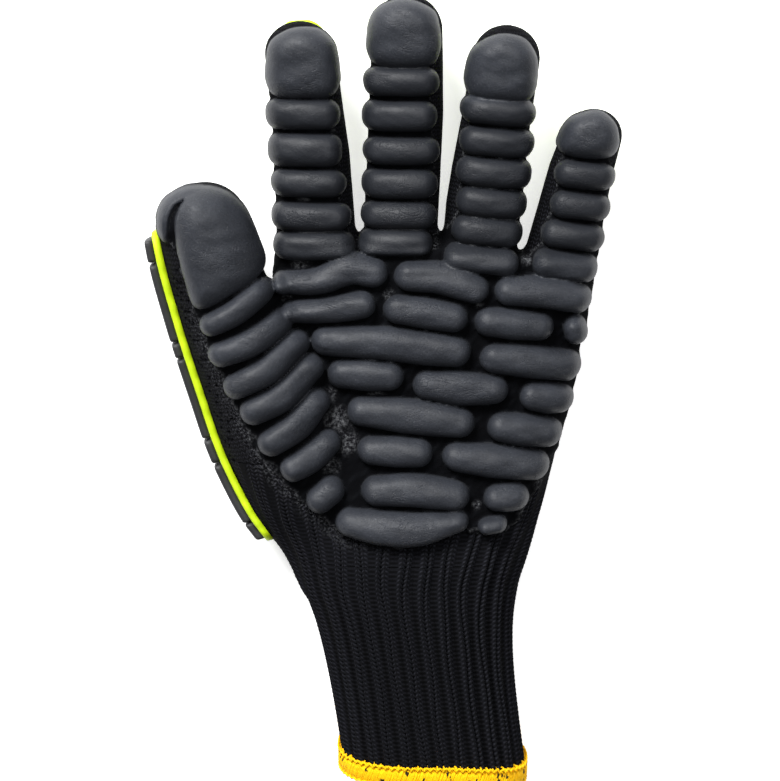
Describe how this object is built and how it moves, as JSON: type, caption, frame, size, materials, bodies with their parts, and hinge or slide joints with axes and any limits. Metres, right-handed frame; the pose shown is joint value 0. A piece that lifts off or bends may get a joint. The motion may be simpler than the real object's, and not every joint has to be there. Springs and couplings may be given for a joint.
{
  "type": "anti-vibration work glove",
  "caption": "Knitted left-hand work glove lying palm up, with padded rubber bars over the palm and fingers, two-layer rubber guards behind and a long ribbed cuff.",
  "frame": {"origin": "on the flat resting face of the knitted back, in the middle of the hand below the palm", "axes": "+Y from the cuff to the fingertips, +X from the thumb to the little finger, +Z the way the palm faces"},
  "size_m": [0.1541, 0.256, 0.0447],
  "materials": {
    "knit": "black seamless knit, ribbed at the cuff",
    "coating": "matt dark slate foam rubber with fine pits",
    "guard_base": "smooth bright yellow-green moulded rubber",
    "guard_block": "matt dark grey moulded rubber",
    "hem": "yellow overlocked thread with black knit showing between the stitches"
  },
  "bodies": {
    "root": {"knit_hand": "knit", "knit_cuff": "knit", "knit_index": "knit", "knit_middle": "knit", "knit_ring": "knit", "knit_little": "knit", "knit_thumb": "knit", "cuff_hem": "hem", "coating_index": "coating", "coating_middle": "coating", "coating_ring": "coating", "coating_little": "coating", "coating_thumb": "coating", "coating_palm": "coating", "guard_index_base": "guard_base", "guard_index_block_1": "guard_block", "guard_index_block_2": "guard_block", "guard_index_block_3": "guard_block", "guard_middle_base": "guard_base", "guard_middle_block_1": "guard_block", "guard_middle_block_2": "guard_block", "guard_middle_block_3": "guard_block", "guard_ring_base": "guard_base", "guard_ring_block_1": "guard_block", "guard_ring_block_2": "guard_block", "guard_ring_block_3": "guard_block", "guard_little_base": "guard_base", "guard_little_block_1": "guard_block", "guard_little_block_2": "guard_block", "guard_little_block_3": "guard_block", "guard_thumb_base": "guard_base", "guard_thumb_block_1": "guard_block", "guard_thumb_block_2": "guard_block", "guard_thumb_block_3": "guard_block", "guard_thumb_block_4": "guard_block", "guard_thumb_block_5": "guard_block", "guard_thumb_block_6": "guard_block", "guard_thumb_block_7": "guard_block"}
  },
  "joints": []
}
